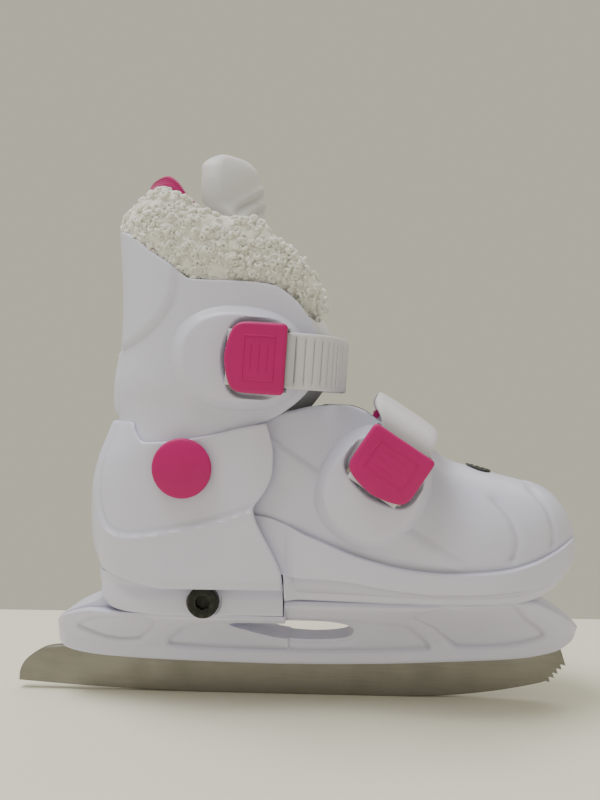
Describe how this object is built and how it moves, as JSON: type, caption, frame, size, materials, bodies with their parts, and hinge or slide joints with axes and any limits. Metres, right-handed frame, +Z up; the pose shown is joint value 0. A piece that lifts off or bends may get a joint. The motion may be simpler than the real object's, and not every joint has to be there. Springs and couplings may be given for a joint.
{
  "type": "ice skate",
  "caption": "Child's size-adjustable hard-shell ice skate with a hinged cuff, fleece collar, two ratchet buckle straps and a toothed steel blade in a plastic chassis.",
  "frame": {"origin": "on the ice, under the middle of the skate's bounding box", "axes": "+X to the toe, +Z up, buckle side at -Y"},
  "size_m": [0.2426, 0.099, 0.2334],
  "materials": {
    "shell_white": "satin moulded polypropylene",
    "strap_white": "satin flexible nylon",
    "tongue_white": "soft moulded, smooth",
    "bellows_white": "ribbed soft elastomer",
    "pink_plastic": "glossy",
    "pink_cloth": "brushed knit lining",
    "fleece": "curly fleece pile",
    "liner_grey": "brushed knit over foam",
    "insole_grey": "woven top cloth",
    "blade_steel": "ground",
    "hardware_steel": "bright zinc plate",
    "black_steel": "black oxide",
    "black_plastic": "matte"
  },
  "bodies": {
    "base": {"blade": "blade_steel", "chassis": "shell_white", "toe_shell": "shell_white", "toe_vent": "black_plastic", "inner_boot": "liner_grey", "insole": "insole_grey", "instep_bellows": "bellows_white", "instep_buckle_base": "hardware_steel", "instep_buckle_rivet_lower": "hardware_steel", "instep_buckle_rivet_upper": "hardware_steel", "instep_lever_pin": "hardware_steel", "instep_pawl_pin": "hardware_steel", "instep_pawl_spring": "hardware_steel", "instep_strap_clip": "pink_plastic", "instep_clip_pin": "hardware_steel"},
    "heel": {"heel_shell": "shell_white", "heel_pad": "liner_grey", "pivot_cap_outer": "pink_plastic", "pivot_cap_inner": "pink_plastic", "pivot_rivet_outer": "hardware_steel", "pivot_rivet_inner": "hardware_steel", "size_clamp_nut": "hardware_steel"},
    "clamp_screw": {"size_clamp_screw": "black_steel"},
    "cuff": {"cuff": "shell_white", "ankle_liner": "liner_grey", "fleece_collar": "fleece", "pink_lining": "pink_cloth", "tongue": "tongue_white", "ankle_buckle_base": "hardware_steel", "ankle_buckle_rivet_lower": "hardware_steel", "ankle_buckle_rivet_upper": "hardware_steel", "ankle_lever_pin": "hardware_steel", "ankle_pawl_pin": "hardware_steel", "ankle_pawl_spring": "hardware_steel", "ankle_strap_clip": "pink_plastic", "ankle_clip_pin": "hardware_steel"},
    "ankle_lever": {"ankle_lever": "pink_plastic"},
    "ankle_pawl": {"ankle_pawl": "hardware_steel"},
    "ankle_strap": {"ankle_strap": "strap_white"},
    "instep_lever": {"instep_lever": "pink_plastic"},
    "instep_pawl": {"instep_pawl": "hardware_steel"},
    "instep_strap": {"instep_strap": "strap_white"}
  },
  "joints": [
    {"name": "size_slide", "type": "slide", "parent": "base", "child": "heel", "axis": [-1, 0, 0], "range_m": [0, 0.018]},
    {"name": "clamp_screw_turn", "type": "hinge", "parent": "heel", "child": "clamp_screw", "pos_m": [-0.0335, 0, 0.0462], "axis": [0, 1, 0], "continuous": true},
    {"name": "cuff_pivot", "type": "hinge", "parent": "heel", "child": "cuff", "pos_m": [-0.041, 0, 0.1004], "axis": [0, 1, 0], "range_deg": [-1, 2.5]},
    {"name": "ankle_lever_turn", "type": "hinge", "parent": "cuff", "child": "ankle_lever", "pos_m": [-0.00152, -0.046, 0.14308], "axis": [0.0698, 0, 0.9976], "range_deg": [0, 60], "stiffness_Nm_per_rad": 0.02, "springref_deg": -5.73},
    {"name": "ankle_pawl_turn", "type": "hinge", "parent": "cuff", "child": "ankle_pawl", "pos_m": [-0.0105, -0.0453, 0.1437], "axis": [0.0698, 0, 0.9976], "range_deg": [-12, 0]},
    {"name": "ankle_strap_slide", "type": "slide", "parent": "cuff", "child": "ankle_strap", "axis": [0.9976, 0, -0.0698], "range_m": [0, 0.008]},
    {"name": "instep_lever_turn", "type": "hinge", "parent": "base", "child": "instep_lever", "pos_m": [0.04549, -0.046, 0.10922], "axis": [-0.829, 0, 0.5592], "range_deg": [0, 60], "stiffness_Nm_per_rad": 0.02, "springref_deg": -5.73},
    {"name": "instep_pawl_turn", "type": "hinge", "parent": "base", "child": "instep_pawl", "pos_m": [0.04046, -0.0453, 0.10176], "axis": [-0.829, 0, 0.5592], "range_deg": [-12, 0]},
    {"name": "instep_strap_slide", "type": "slide", "parent": "base", "child": "instep_strap", "axis": [0.5592, 0, 0.829], "range_m": [0, 0.01]}
  ],
  "couplings": [
    {"joint": "ankle_pawl_turn", "follows": "ankle_lever_turn", "ratio": -0.18},
    {"joint": "instep_pawl_turn", "follows": "instep_lever_turn", "ratio": -0.18}
  ]
}
